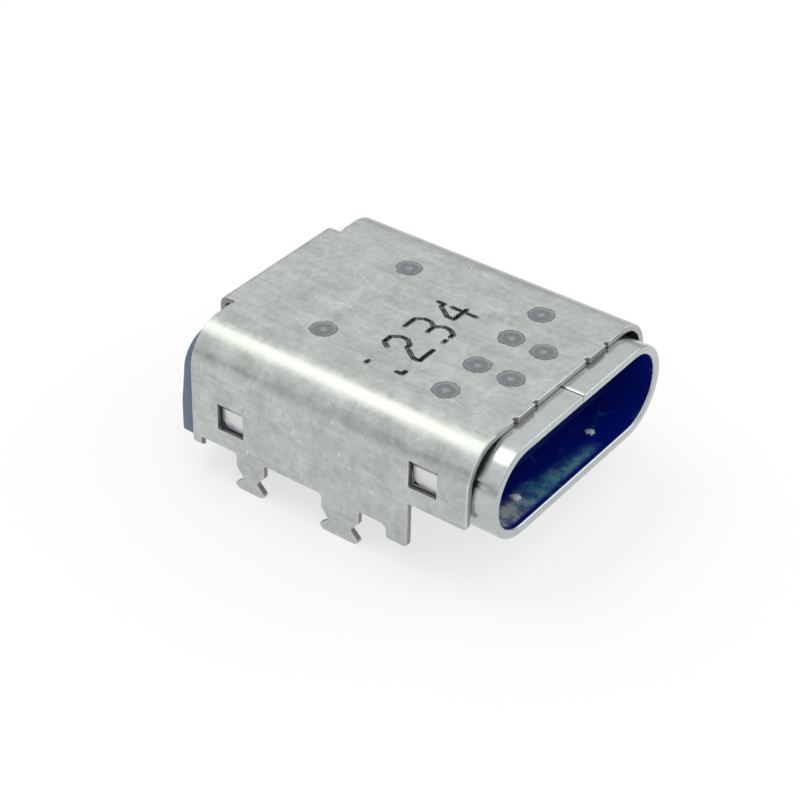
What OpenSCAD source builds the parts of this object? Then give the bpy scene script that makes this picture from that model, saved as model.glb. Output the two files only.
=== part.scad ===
// USB-C socket for a circuit board: a seamed shell round a contact tongue, inside a folded shield that
// locks into the board. Millimetres. Y runs from the plug mouth to the back, Z up from the board.
// Lengths along Y are counted from the mouth's lip, heights from the middle of the mouth.

/* [Plug mouth] */
// Width of the mouth
mouth_w = 8.34; // [8.2:0.01:8.6]
// Height of the mouth
mouth_h = 2.56; // [2.4:0.01:2.8]
// Depth of the mouth, from the lip to the face of the housing
mouth_depth = 6.2; // [5.8:0.05:6.6]
// Rounding of the lip's inner edge
lip_round = 0.09; // [0.04:0.01:0.12]

/* [Shell] */
// Thickness of the shell's sheet
shell_t = 0.3; // [0.2:0.01:0.35]
// Length of the shell
shell_len = 8.5; // [8.3:0.05:9]
// Width of the butt seam on top
seam_w = 0.04; // [0.02:0.01:0.08]
// Height of the two bumps pressed in the floor
bump_h = 0.07; // [0.03:0.01:0.08]
// Distance of the bumps from the middle
bump_x = 2.02; // [1.6:0.01:2.4]
// Distance of the bumps from the lip
bump_y = 0.85; // [0.6:0.01:1.2]
// Radius of the bumps' caps
bump_r = 0.35; // [0.3:0.05:0.7]

/* [Shield] */
// Thickness of the shield's sheet
shield_t = 0.22; // [0.15:0.01:0.25]
// Outer radius of the long bends
bend_r = 1.33; // [1.1:0.01:1.4]
// How far the shell stands out in front of the shield
lip_out = 0.76; // [0.5:0.01:1]
// How far the skirts reach below the shell
skirt_below = 0.35; // [0.2:0.01:0.5]
// How much higher the skirts end in front of the feet
front_rise = 1.13; // [0.8:0.01:1.3]
// Height of the feet below the skirts, which sets the board's place
foot_h = 0.47; // [0.3:0.01:0.6]
// Front edge of the feet
foot_y = 2.78; // [2.6:0.01:3]
// Width of a foot
foot_w = 0.76; // [0.5:0.01:1]
// Gap between the shell and the shield
shell_gap = 0.01; // [0.01:0.01:0.04]

/* [Board locks] */
// Middle of the front pair of locks
front_lock_y = 5.23; // [5:0.01:5.5]
// Width of a front lock
front_lock_w = 1.38; // [1.1:0.01:1.6]
// Middle of the rear pair of locks
rear_lock_y = 8.62; // [8.3:0.01:8.9]
// Width of a rear lock
rear_lock_w = 1.06; // [0.9:0.01:1.2]
// How far the locks reach below the board's upper face
lock_len = 0.81; // [0.76:0.01:1.2]
// How far the bites above the barbs cut into a lock
bite_in = 0.27; // [0.15:0.01:0.3]
// Depth of the bites' roots below the board's upper face
bite_depth = 0.35; // [0.3:0.01:0.4]
// Radius of the bites' roots
bite_r = 0.06; // [0.03:0.01:0.08]
// How far a rear barb stands out behind its lock
barb_out = 0.06; // [0:0.01:0.08]
// Radius of the locks' lower corners
lock_r = 0.16; // [0.1:0.01:0.2]

/* [Side lances] */
// Width of a lance's window
window_w = 0.98; // [0.8:0.01:1.1]
// Height of a lance's window
window_h = 0.94; // [0.7:0.01:1]
// Middle of the front windows along the side
front_window_y = 2.31; // [2:0.01:2.6]
// Lower edge of the front windows
front_window_z = -0.2; // [-0.3:0.01:0]
// Middle of the rear windows along the side
rear_window_y = 9.36; // [9.2:0.01:9.5]
// Lower edge of the rear windows
rear_window_z = -1.33; // [-1.4:0.01:-1.1]
// How deep a lance is pressed in
lance_in = 0.16; // [0.08:0.01:0.2]
// Gap round a lance
lance_gap = 0.07; // [0.04:0.01:0.1]
// Height of a lance's slanted part
lance_bend = 0.22; // [0.15:0.01:0.3]
// Size of a lance's cut corner
lance_corner = 0.22; // [0.1:0.01:0.3]

/* [Shield ends] */
// Half distance between the two carrier stubs' middles
stub_x = 1.885; // [1.6:0.005:2.2]
// Width of a carrier stub between its bites
stub_w = 0.85; // [0.6:0.01:1]
// Radius of the bites beside a stub
stub_bite_r = 0.1; // [0.05:0.01:0.15]
// How far a carrier stub stands out in front of the shield
stub_out = 0.03; // [0.01:0.01:0.1]
// Half width of the flap folded down the back
flap_half_w = 2.58; // [2.2:0.01:2.8]
// Outer radius of the flap's fold
flap_r = 0.34; // [0.3:0.01:0.5]
// How much higher than the shell's underside the flap ends
flap_rise = 0.1; // [0:0.01:0.3]
// Width of the relief cuts beside the flap
relief_w = 0.16; // [0.1:0.01:0.35]
// Depth of the relief cuts beside the flap
relief_depth = 0.03; // [0.02:0.01:0.2]
// How far the skirts' rear edges stand in front of the housing's back
cheek_len = 0.37; // [0.25:0.01:0.5]
// Width of a rear finger
finger_w = 0.31; // [0.2:0.01:0.4]
// How far a rear finger hangs straight down before its curl
finger_drop = 0.14; // [0.05:0.01:0.15]
// Outer radius of a rear finger's curl
finger_r = 0.26; // [0.25:0.01:0.3]

/* [Housing] */
// Distance of the first row of tails from the shell's end
row_start = 0.4; // [0.35:0.01:0.6]
// Distance of the upper contacts' drop from the back
back_wall = 0.72; // [0.6:0.01:0.9]
// How far the floor lies above the skirts' lower edges
floor_rise = 0.05; // [0:0.01:0.15]
// How far the cheeks stand out behind the back
cheek_out = 0.1; // [0.05:0.01:0.15]
// How far the cheeks stand out past the shield's inner face
cheek_side = 0.14; // [0.05:0.01:0.2]
// How far the cheeks' tops lie below the block's
cheek_drop = 0.44; // [0.2:0.01:0.6]
// How far the cheeks reach below the floor
cheek_low = 0.27; // [0:0.01:0.3]
// Radius of the cheeks' shoulders
cheek_r = 1.04; // [0.8:0.01:1.1]
// Draft of the cheeks' sides
cheek_draft = 0.13; // [0.02:0.01:0.14]
// Clearance of the housing in the sheets
slip = 0.02; // [0.01:0.01:0.04]

/* [Tongue] */
// Width of the tongue
tongue_w = 6.69; // [6.5:0.01:6.8]
// Thickness of the tongue
tongue_t = 0.7; // [0.66:0.01:0.76]
// Distance of the tongue's nose from the lip
tongue_back = 0.98; // [0.8:0.01:1.2]
// Length of the tongue's nose in front of the mid plate
nose_len = 0.32; // [0.25:0.01:0.4]
// Thickness of the tongue's thick root
root_t = 1.3; // [1.2:0.01:1.5]
// Length of the thick root inside the mouth
root_len = 1.37; // [1.2:0.01:1.5]
// Radius of the latch notches in the tongue's edges
notch_r = 0.3; // [0.2:0.01:0.4]
// Distance of the latch notches from the root
notch_y = 1.15; // [0.8:0.05:1.5]
// Thickness of the mid plate
plate_t = 0.15; // [0.1:0.01:0.18]
// Thickness of the ground plates
ground_t = 0.1; // [0.06:0.01:0.12]
// Half width of the ground plates
ground_half_w = 2.95; // [2.6:0.01:3.1]

/* [Contacts] */
// Pitch of the contacts
pitch = 0.5; // [0.48:0.005:0.51]
// Width of a contact
contact_w = 0.25; // [0.2:0.01:0.28]
// Thickness of a contact
contact_t = 0.15; // [0.1:0.01:0.17]
// Distance of the signal contacts from the mid plate's front edge
signal_back = 0.55; // [0.5:0.01:0.7]
// How much further forward the ground and power contacts start
early_len = 0.45; // [0.2:0.01:0.5]
// Distance between two rows of tails
tail_row_gap = 0.8; // [0.7:0.01:0.9]
// Length of the surface-mount tails behind the housing
tail_out = 0.75; // [0.5:0.01:1]
// How far the through-board tails reach below the board's upper face
tail_len = 0.7; // [0.5:0.01:0.75]

/* [Hidden] */
row_count = 12;    // contacts in a row
row = [for (i = [1:row_count]) i];

$fn = 64;
bend_steps = 5;    // flats in a contact's bend
past = 1;          // how far a cutter runs past what it cuts

// Shell
shell_half_w = mouth_w / 2 + shell_t;
shell_half_h = mouth_h / 2 + shell_t;
end_r = mouth_h / 2;
end_x = mouth_w / 2 - end_r;

// Shield, by its inner and outer faces
in_half_w = shell_half_w + shell_gap;
out_half_w = in_half_w + shield_t;
in_top = shell_half_h + shell_gap;
out_top = in_top + shield_t;
skirt_z = -shell_half_h - skirt_below;
front_skirt_z = skirt_z + front_rise;
board_z = skirt_z - foot_h;
lock_z = board_z - lock_len;
tail_z = board_z - tail_len;
corner_r = 0.12;

// Rows of tails, from the shell's end to the back
row_1_y = shell_len + row_start;
row_2_y = row_1_y + tail_row_gap;
drop_y = row_2_y + tail_row_gap;
back_y = drop_y + back_wall;
side_back = back_y - cheek_len;
flap_out = back_y + shield_t;
flap_z = -shell_half_h + flap_rise;

// Housing
floor_z = skirt_z + floor_rise;
pocket_wall = 0.35; // from the pocket's end to the middle of the upper contacts' drop
pocket_end = drop_y - pocket_wall;
cheek_foot_r = 0.25; // radius of the cheeks' lower corners
draft_h = 1.05;      // height over which the cheeks' sides spread

// Tongue and contacts, by height
surface_z = tongue_t / 2;
contact_z = surface_z - contact_t;
root_z = root_t / 2;
root_y = mouth_depth - root_len;
ground_len = 1;     // how far the ground plates reach into the housing
ground_end = mouth_depth + ground_len;
plate_y = tongue_back + nose_len;
nose_r = nose_len * 0.9;
signal_y = plate_y + signal_back;
inner_bend_r = 0.1; // inside radius of the contacts' bends
contact_r = contact_t + inner_bend_r;
tip_taper = 0.3;
plate_leg_y = row_1_y + tail_row_gap / 2;
plate_leg_w = 0.5;
plate_leg_out = 0.35; // how far a leg's outer face lies past the tongue's edge
plate_leg_x = tongue_w / 2 + plate_leg_out;

// The frame's origin: on the board, midway between the pairs of locks
datum_y = (front_lock_y + rear_lock_y) / 2;

// Puts what is drawn from the lip and the mouth's middle into the part's own frame.
module seated() {
    translate([0, -datum_y, -board_z]) children();
}

// Extrudes a section drawn in X and Z, from y0 back to y1.
module along_y(y0, y1) {
    translate([0, y1, 0]) rotate([90, 0, 0]) linear_extrude(y1 - y0) children();
}

// Extrudes an outline drawn in Y and Z, from x0 to x1.
module along_x(x0, x1) {
    translate([x0, 0, 0]) rotate([90, 0, 90]) linear_extrude(x1 - x0) children();
}

module both_sides() {
    children();
    mirror([1, 0, 0]) children();
}

// Points of an arc round c, from angle a0 to a1.
function arc(c, r, a0, a1, steps) =
    [for (i = [0:steps]) let (a = a0 + (a1 - a0) * i / steps) c + r * [cos(a), sin(a)]];

// ---- Shell ----

// The sheet's section, from the inside out, with a rounded lip.
module lip_section(r) {
    inner = arc([r + lip_round, lip_round], lip_round, 180, 270, 4);
    edge_r = shell_t / 5;
    outer = arc([r + shell_t - edge_r, edge_r], edge_r, 270, 360, 3);
    polygon(concat([[r, shell_len]], inner, outer, [[r + shell_t, shell_len]]));
}

module shell_tube() {
    both_sides() {
        translate([end_x, 0, 0]) rotate([-90, 0, 0]) rotate([0, 0, -90])
            rotate_extrude(angle = 180) lip_section(end_r);
    }
    for (flip = [0, 1]) {
        mirror([0, 0, flip]) translate([end_x, 0, 0]) rotate([0, -90, 0])
            linear_extrude(2 * end_x) lip_section(end_r);
    }
}

// The ball whose cap is a bump in the floor; lift moves it down to hollow the bump from outside.
module bump_ball(lift) {
    translate([bump_x, bump_y, -mouth_h / 2 + bump_h - bump_r + lift]) sphere(r = bump_r);
}

module shell() {
    color("#d4d6d2") seated() difference() {
        union() {
            shell_tube();
            both_sides() intersection() {
                bump_ball(0);
                translate([bump_x - bump_r, bump_y - bump_r, -mouth_h / 2 - shell_t / 2])
                    cube([2 * bump_r, 2 * bump_r, shell_t]);
            }
        }
        both_sides() bump_ball(-shell_t);
        translate([-seam_w / 2, -past, 0]) cube([seam_w, shell_len + 2 * past, shell_half_h + past]);
        both_sides() window_block(front_window_y, front_window_z, end_x + end_r / 2, shell_half_w + past);
    }
}

// ---- Shield ----

// A sheet arch in X and Z: flat top, round shoulders and straight sides.
module arch(half_w, top, bottom, r) {
    translate([-half_w, bottom]) square([2 * half_w, top - r - bottom]);
    translate([-half_w + r, bottom]) square([2 * (half_w - r), top - bottom]);
    for (side = [-1, 1]) translate([side * (half_w - r), top - r]) circle(r);
}

// One edge of a lock by its distance from the lock's middle, from the skirt down: the blade's side, the
// bite's rounded root, the barb's tip and the lower corner.
function lock_edge(half, out) = concat(
    [[half, skirt_z + past], [half, board_z]],
    arc([half - bite_in + bite_r, board_z - bite_depth], bite_r,
        atan2(bite_in, -bite_depth), 360 + atan2(-bite_in - out, bite_depth + lock_r - lock_len), 4),
    [[half + out, lock_z + lock_r]],
    arc([half - lock_r, lock_z + lock_r], lock_r, -30, -90, 3));

// A board lock: a blade with a bite in each edge, which leaves a barb that catches under the board.
module lock_outline(y, w) {
    rear = [for (p = lock_edge(w / 2, barb_out)) [y + p[0], p[1]]];
    front = [for (p = lock_edge(w / 2, 0)) [y - p[0], p[1]]];
    polygon(concat(rear, [for (i = [len(front) - 1:-1:0]) front[i]]));
}

// The fillets where a lock of width w leaves the skirt.
module root_fillets(y, w) {
    r = 0.1;
    for (side = [-1, 1]) difference() {
        translate([y + side * (w / 2 + r / 2), skirt_z]) square([r, 2 * r], center = true);
        translate([y + side * (w / 2 + r), skirt_z - r]) circle(r);
    }
}

// One side of the shield, laid out in Y and Z.
module side_outline() {
    difference() {
        translate([lip_out, skirt_z]) square([side_back - lip_out, out_top + past - skirt_z]);
        translate([lip_out - past, skirt_z - past])
            square([foot_y - lip_out + past, front_rise + past]);
        corner_cut([lip_out, front_skirt_z], [1, 1]);
    }
    lock_outline(front_lock_y, front_lock_w);
    root_fillets(front_lock_y, front_lock_w);
    lock_outline(rear_lock_y, rear_lock_w);
    root_fillets(rear_lock_y, rear_lock_w);
    difference() {
        translate([foot_y, board_z]) square([foot_w, foot_h + past]);
        corner_cut([foot_y, board_z], [1, 1]);
        corner_cut([foot_y + foot_w, board_z], [-1, 1]);
    }
    difference() {
        translate([foot_y + foot_w, skirt_z - foot_h / 2]) square([foot_h / 2, foot_h]);
        translate([foot_y + foot_w + foot_h / 2, skirt_z - foot_h / 2]) circle(foot_h / 2);
    }
}

// What a rounded corner loses; dir points from the corner into the sheet.
module corner_cut(at, dir) {
    translate(at) mirror([dir[0] < 0 ? 1 : 0, 0]) mirror([0, dir[1] < 0 ? 1 : 0]) difference() {
        translate([-corner_r, -corner_r]) square(2 * corner_r);
        translate([corner_r, corner_r]) circle(corner_r);
    }
}

module window_block(y, z, x0, x1) {
    translate([x0, y - window_w / 2, z]) cube([x1 - x0, window_w, window_h]);
}

// Distance from the middle, at height z, of a shield face that runs at half_w down the side and turns
// into a bend of radius r.
function face_x(half_w, r, z) = half_w - r + sqrt(r ^ 2 - max(z - out_top + bend_r, 0) ^ 2);

// A lance: hangs from its window's upper edge, pressed in by lance_in, with its rear corner cut off.
module lance(y, z) {
    top = z + window_h;
    knee = top - lance_bend;
    low = z + lance_gap;
    half = window_w / 2 - lance_gap;
    root = shield_t / 4;
    skin = 0.005; // how far the root lies inside the sheet's faces
    outer = face_x(out_half_w, bend_r, top + root) - skin;
    inner = face_x(in_half_w, bend_r - shield_t, top) + skin;
    difference() {
        along_y(y - half, y + half) polygon([
            [outer, top + root], [outer, top], [out_half_w - lance_in, knee],
            [out_half_w - lance_in, low], [in_half_w - lance_in, low], [in_half_w - lance_in, knee],
            [inner, top], [inner, top + root]]);
        along_x(in_half_w - past, out_half_w + past) translate([y + half, low])
            rotate(45) square(lance_corner * sqrt(2), center = true);
    }
}

// The flap's section in Y and Z: along the top, round the fold and down the back.
module flap_section() {
    fold = [flap_out - flap_r, out_top - flap_r];
    start = side_back - relief_w;
    translate([start, in_top]) square([fold[0] - start, shield_t]);
    difference() {
        intersection() {
            translate(fold) circle(flap_r);
            translate(fold) square(flap_r);
        }
        translate(fold) circle(flap_r - shield_t);
    }
    translate([flap_out - shield_t, flap_z]) square([shield_t, fold[1] - flap_z]);
}

// A finger at the skirt's rear corner, which hangs down and curls in under the housing.
module finger() {
    curl = [out_half_w - finger_r, skirt_z - finger_drop];
    along_y(side_back - finger_w, side_back) {
        translate([in_half_w, curl[1]]) square([shield_t, finger_drop + shield_t]);
        difference() {
            intersection() {
                translate(curl) circle(finger_r);
                translate([curl[0], curl[1] - finger_r]) square(finger_r);
            }
            translate(curl) circle(finger_r - shield_t);
        }
    }
}

module shield() {
    color("#c3c6c2") seated() difference() {
        union() {
            intersection() {
                along_y(lip_out, side_back) difference() {
                    arch(out_half_w, out_top, lock_z, bend_r);
                    arch(in_half_w, in_top, lock_z - past, bend_r - shield_t);
                }
                along_x(-out_half_w - past, out_half_w + past) side_outline();
            }
            both_sides() finger();
            both_sides() translate([stub_x - stub_w / 2, lip_out - stub_out, in_top])
                cube([stub_w, stub_out + stub_bite_r, shield_t]);
            along_x(-flap_half_w, flap_half_w) flap_section();
        }
        both_sides() {
            window_block(front_window_y, front_window_z, in_half_w - shield_t, out_half_w + past);
            window_block(rear_window_y, rear_window_z, in_half_w - shield_t, out_half_w + past);
        }
        both_sides() for (side = [-1, 1])
            translate([stub_x + side * (stub_w / 2 + stub_bite_r), lip_out, 0])
                cylinder(r = stub_bite_r, h = out_top + past);
        both_sides() translate([flap_half_w, side_back - relief_depth, 0])
            cube([relief_w, past, out_top + past]);
    }
    color("#c3c6c2") seated() both_sides() {
        lance(front_window_y, front_window_z);
        lance(rear_window_y, rear_window_z);
    }
}

// ---- Contacts ----

function contact_x(i) = (i - (row_count + 1) / 2) * pitch;

// Ground and power contacts are the outer pair and the fourth from each end.
function is_early(i) = i == 1 || i == 4 || i == row_count - 3 || i == row_count;

function contact_y(i) = signal_y - (is_early(i) ? early_len : 0);

function lower_drop(i) = i % 2 == 0 ? row_2_y : row_1_y;

// An upper contact's outline in Y and Z: along the tongue, down behind it, then back on the board.
module upper_strip(y0) {
    in_r = contact_r - contact_t;
    top_bend = [drop_y + contact_t / 2 - contact_r, surface_z - contact_r];
    low_bend = [drop_y - contact_t / 2 + contact_r, board_z + contact_r];
    polygon(concat(
        [[y0, contact_z], [y0, surface_z]],
        arc(top_bend, contact_r, 90, 0, bend_steps),
        arc(low_bend, in_r, 180, 270, bend_steps),
        [[back_y + tail_out, board_z + contact_t], [back_y + tail_out, board_z]],
        arc(low_bend, contact_r, 270, 180, bend_steps),
        arc(top_bend, in_r, 0, 90, bend_steps)));
}

// A lower contact's outline in Y and Z: along the tongue, then down through the board to a taper.
module lower_strip(y0, drop) {
    in_r = contact_r - contact_t;
    bend = [drop + contact_t / 2 - contact_r, -contact_z - contact_r];
    polygon(concat(
        [[y0, -surface_z], [y0, -contact_z]],
        arc(bend, contact_r, 90, 0, bend_steps),
        [[drop + contact_t / 2, tail_z + tip_taper], [drop + contact_t / 6, tail_z]],
        [[drop - contact_t / 6, tail_z], [drop - contact_t / 2, tail_z + tip_taper]],
        arc(bend, in_r, 0, 90, bend_steps)));
}

module upper_blade(i) {
    x = contact_x(i);
    along_x(x - contact_w / 2, x + contact_w / 2) upper_strip(contact_y(i));
}

module lower_blade(i) {
    x = contact_x(i);
    along_x(x - contact_w / 2, x + contact_w / 2) lower_strip(contact_y(i), lower_drop(i));
}

module upper_contact(i) {
    color("#d6a84c") seated() upper_blade(i);
}

module lower_contact(i) {
    color("#d6a84c") seated() lower_blade(i);
}

// ---- Tongue ----

// A plain strip as wide as the tongue, seen from above.
module tongue_strip(y0, y1) {
    translate([-tongue_w / 2, y0]) square([tongue_w, y1 - y0]);
}

// The nose seen from above, with rounded front corners.
module nose_outline() {
    round_x = tongue_w / 2 - nose_r;
    translate([-round_x, tongue_back]) square([2 * round_x, nose_r]);
    tongue_strip(tongue_back + nose_r, plate_y);
    intersection() {
        for (side = [-1, 1]) translate([side * round_x, tongue_back + nose_r]) circle(nose_r);
        tongue_strip(tongue_back, plate_y);
    }
}

// A latch notch in each edge of the tongue, where the plug's latches click in.
module latch_notches() {
    for (side = [-1, 1])
        translate([side * (tongue_w / 2 + notch_r / 3), root_y - notch_y]) circle(notch_r);
}

// Half of the tongue with its base behind, above the mid plate; the lower one is its mirror image.
module insulator_half() {
    low = plate_t / 2;
    translate([0, 0, low]) linear_extrude(surface_z - low) difference() {
        tongue_strip(plate_y, pocket_end);
        latch_notches();
    }
    translate([0, 0, low]) linear_extrude(root_z - ground_t - low) tongue_strip(root_y, pocket_end);
    translate([0, 0, low]) linear_extrude(root_z - low) tongue_strip(ground_end, pocket_end);
}

module upper_insulator() {
    color("#17191e") seated() difference() {
        insulator_half();
        for (i = row) upper_blade(i);
    }
}

module lower_insulator() {
    color("#17191e") seated() difference() {
        union() {
            mirror([0, 0, 1]) insulator_half();
            translate([0, 0, -surface_z]) linear_extrude(tongue_t) nose_outline();
        }
        for (i = row) lower_blade(i);
    }
}

// The mid plate's two ground tails, folded down at its edges.
module plate_legs() {
    tuck = 0.2; // how far a leg runs into the plate
    bend = [plate_leg_x - contact_r, plate_t / 2 - contact_r];
    both_sides() along_y(plate_leg_y - plate_leg_w / 2, plate_leg_y + plate_leg_w / 2) {
        translate([tongue_w / 2 - tuck, -plate_t / 2]) square([bend[0] - tongue_w / 2 + tuck, plate_t]);
        translate([plate_leg_x - plate_t, tail_z]) square([plate_t, bend[1] - tail_z]);
        difference() {
            intersection() {
                translate(bend) circle(contact_r);
                translate(bend) square(contact_r);
            }
            translate(bend) circle(contact_r - plate_t);
        }
    }
}

module mid_plate() {
    color("#b4b7b9") seated() union() {
        translate([0, 0, -plate_t / 2]) linear_extrude(plate_t) difference() {
            tongue_strip(plate_y, pocket_end);
            latch_notches();
        }
        plate_legs();
    }
}

// A ground plate on the root's face, with a lip folded down in front of the root.
module ground_plate() {
    translate([-ground_half_w, root_y - ground_t, root_z - ground_t])
        cube([2 * ground_half_w, ground_end - root_y + ground_t, ground_t]);
    translate([-ground_half_w, root_y - ground_t, surface_z])
        cube([2 * ground_half_w, ground_t, root_z - surface_z]);
}

module upper_ground_plate() {
    color("#bfc2c4") seated() ground_plate();
}

module lower_ground_plate() {
    color("#bfc2c4") seated() mirror([0, 0, 1]) ground_plate();
}

// ---- Housing ----

// The cheeks in X and Z, one each side of the flap: round shoulder, drafted side, round lower corner.
module cheek_section() {
    inner = flap_half_w + slip;
    half = in_half_w + cheek_side;
    top = in_top - slip - cheek_drop;
    bottom = floor_z - cheek_low;
    shoulder = [half - cheek_draft - cheek_r, top - cheek_r];
    foot = [half - cheek_foot_r, bottom + cheek_foot_r];
    both_sides() {
        polygon([
            [inner, bottom], [inner, top], [shoulder[0], top], shoulder, shoulder + [cheek_r, 0],
            [half, shoulder[1] - draft_h], [half, foot[1]], foot, [foot[0], bottom]]);
        intersection() {
            translate(shoulder) circle(cheek_r);
            translate(shoulder) square(cheek_r);
        }
        intersection() {
            translate(foot) circle(cheek_foot_r);
            translate([foot[0], bottom]) square(cheek_foot_r);
        }
    }
}

// The housing without its cavities.
module housing_body() {
    block_top = in_top - slip;
    // Plug that fills the shell behind the mouth
    both_sides() translate([end_x, 0, 0]) rotate([-90, 0, 0]) translate([0, 0, mouth_depth])
        cylinder(r = end_r - slip, h = shell_len - mouth_depth + slip);
    translate([-end_x, mouth_depth, -end_r + slip])
        cube([2 * end_x, shell_len - mouth_depth + slip, 2 * (end_r - slip)]);
    // Block behind the shell, inside the shield
    along_y(shell_len + slip, side_back + slip) arch(in_half_w - slip, block_top, floor_z, bend_r - shield_t);
    // Its middle, which backs the flap
    along_y(side_back, back_y) translate([-flap_half_w - slip, floor_z])
        square([2 * (flap_half_w + slip), block_top - floor_z]);
    // Cheeks that stop against the skirts' rear edges
    along_y(side_back + slip, back_y + cheek_out) cheek_section();
}

// The edge under the flap's fold, cut back so that the fold's round inside clears it.
module fold_chamfer() {
    cut = flap_r - shield_t;
    along_x(-flap_half_w - slip, flap_half_w + slip) translate([back_y, in_top])
        rotate(45) square(cut * sqrt(2), center = true);
}

module housing() {
    color("#1b1f29") seated() difference() {
        housing_body();
        fold_chamfer();
        translate([0, 0, -root_z]) linear_extrude(root_t) tongue_strip(mouth_depth - past, pocket_end);
        for (i = row) {
            upper_blade(i);
            lower_blade(i);
        }
        plate_legs();
        both_sides() translate([in_half_w - lance_in - slip, rear_window_y - window_w / 2, rear_window_z])
            cube([past, window_w, window_h]);
    }
}

shield();
shell();
housing();
upper_insulator();
lower_insulator();
mid_plate();
upper_ground_plate();
lower_ground_plate();
for (i = row) {
    upper_contact(i);
    lower_contact(i);
}
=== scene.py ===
import math
import random

import bmesh
import bpy
from mathutils import Matrix, Vector
from mathutils.bvhtree import BVHTree


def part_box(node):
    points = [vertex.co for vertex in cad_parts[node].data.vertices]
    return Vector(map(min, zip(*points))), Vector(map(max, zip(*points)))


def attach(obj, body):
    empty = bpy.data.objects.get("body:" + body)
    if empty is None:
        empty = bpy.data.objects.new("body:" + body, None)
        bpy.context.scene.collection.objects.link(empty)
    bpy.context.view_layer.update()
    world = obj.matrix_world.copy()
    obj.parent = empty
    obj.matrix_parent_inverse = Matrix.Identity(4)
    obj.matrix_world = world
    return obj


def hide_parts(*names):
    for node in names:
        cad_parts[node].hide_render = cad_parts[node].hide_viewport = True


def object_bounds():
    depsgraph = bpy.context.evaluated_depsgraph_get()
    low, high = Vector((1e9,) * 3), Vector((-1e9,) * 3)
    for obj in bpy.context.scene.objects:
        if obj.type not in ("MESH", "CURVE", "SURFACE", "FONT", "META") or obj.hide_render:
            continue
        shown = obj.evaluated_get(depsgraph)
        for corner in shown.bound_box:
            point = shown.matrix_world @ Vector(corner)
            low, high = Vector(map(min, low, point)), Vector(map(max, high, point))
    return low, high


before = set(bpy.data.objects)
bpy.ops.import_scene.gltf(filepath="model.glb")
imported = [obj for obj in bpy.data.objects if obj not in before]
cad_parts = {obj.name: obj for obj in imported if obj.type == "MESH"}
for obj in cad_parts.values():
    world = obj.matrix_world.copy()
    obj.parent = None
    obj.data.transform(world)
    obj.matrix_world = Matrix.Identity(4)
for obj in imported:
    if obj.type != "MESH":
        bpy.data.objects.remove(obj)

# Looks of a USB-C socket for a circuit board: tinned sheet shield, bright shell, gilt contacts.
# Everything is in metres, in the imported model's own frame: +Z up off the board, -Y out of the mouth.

cad_low, cad_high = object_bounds()
MM = 0.001

# ---- Sizes read from the frame ----

shield_low, shield_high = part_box("shield")
shell_low, shell_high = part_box("shell")
LIP_Y = shell_low.y                         # the mouth's lip
TOP_Z = shield_high.z                       # the shield's upper face
AXIS_Z = (shell_low.z + shell_high.z) / 2   # the middle of the mouth
FLOOR_Z = cad_low.z                         # the lowest point of the part

# ---- Sizes of the sheets, the mouth and the marks ----

SHEET = 0.22 * MM           # thickness of the shield's sheet
SHELL_WALL = 0.3 * MM       # thickness of the shell's sheet
STUB_OUT = 0.03 * MM        # how far the carrier stubs stand out from the shield's front face
MOUTH_R = (shell_high.z - shell_low.z) / 2 - SHELL_WALL   # radius of the mouth's round ends
MOUTH_END_X = shell_high.x - SHELL_WALL - MOUTH_R         # middle of each round end
MOUTH_DEPTH = 6.2 * MM      # from the lip to the mouth's back wall
GILT_END = LIP_Y + MOUTH_DEPTH + 0.8 * MM   # the contacts' gilt gives way to tin from here
TIN_START = LIP_Y + MOUTH_DEPTH + 1.2 * MM  # to here
WINDOW_HALF = 0.49 * MM     # half width of a lance's window
WINDOW_BLUR = 0.01 * MM     # softness of the window's sides
LANCE_ROOT = 0.22 * MM      # height of a lance's slanted part
LANCE_TALL = 0.95 * MM      # height of a lance's window
LANCE_SHADE = 0.16 * MM     # the painted light on a lance's face is full from this far below its window's upper edge
SHADE_START = 0.02 * MM     # and starts from here
TIP_BLUR = 0.02 * MM        # softness of its lower edge
# Windows of the lances: middle from the lip, upper edge from the middle of the mouth
WINDOWS = [(2.31 * MM, 0.74 * MM), (9.36 * MM, -0.39 * MM)]
BUMP_X = 2.02 * MM          # the bumps in the mouth's floor, from the middle
BUMP_Y = 0.85 * MM          # and from the lip
WELD_R = 0.44 * MM          # radius of a spot weld
# Spot welds on the top, one of each on the left and on the right, in millimetres: from the middle,
# from the lip
WELDS = [(0.87, 1.97), (0.88, 3.13), (2.48, 3.13), (2.15, 7.80)]

# ---- Rounded edges ----

MERGE = 0.0004 * MM         # corners of loose triangles nearer than this are joined
FLAT_ANGLE = math.radians(0.4)    # faces that turn less than this become one flat face
SHARP_ANGLE = math.radians(40)    # edges sharper than this are rounded
SHIELD_EASE = 0.03 * MM     # rounding of the shield's cut edges
FRONT_EASE = 0.05 * MM      # rounding of the shield's drawn front edge
FRONT_SHEAR = 0.4           # how much of the sheared look the shield's front face has
SHELL_EASE = 0.02 * MM      # rounding of the shell's cut edges
SEAM_EASE = 0.11 * MM       # rounding of the two edges along the shell's seam
HOUSING_EASE = 0.04 * MM    # rounding of the housing's edges
EASE_STEPS = 3              # flat strips across a rounded edge
WIDE_STEPS = 4              # and across the wider ones
LANCE_CREASE = math.radians(12)   # least angle that still looks like a crease at a lance's root
ON_FRONT = 0.002 * MM       # nearer than this, a corner lies on the shield's front face
ON_SHELL_TOP = 0.001 * MM   # nearer than this, a corner lies on the shell's top
SEAM_REACH = 0.1 * MM       # the seam's edges lie nearer than this to the middle
SEAM_SHORTEST = 1 * MM      # and are longer than this
LANCE_SLACK = 0.01 * MM     # room round a lance's root, beside and below
LANCE_ABOVE = 0.1 * MM      # and above
MOUTH_SLACK = 0.004 * MM    # room outside the mouth's wall

# ---- Depth of the finest relief ----

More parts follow.
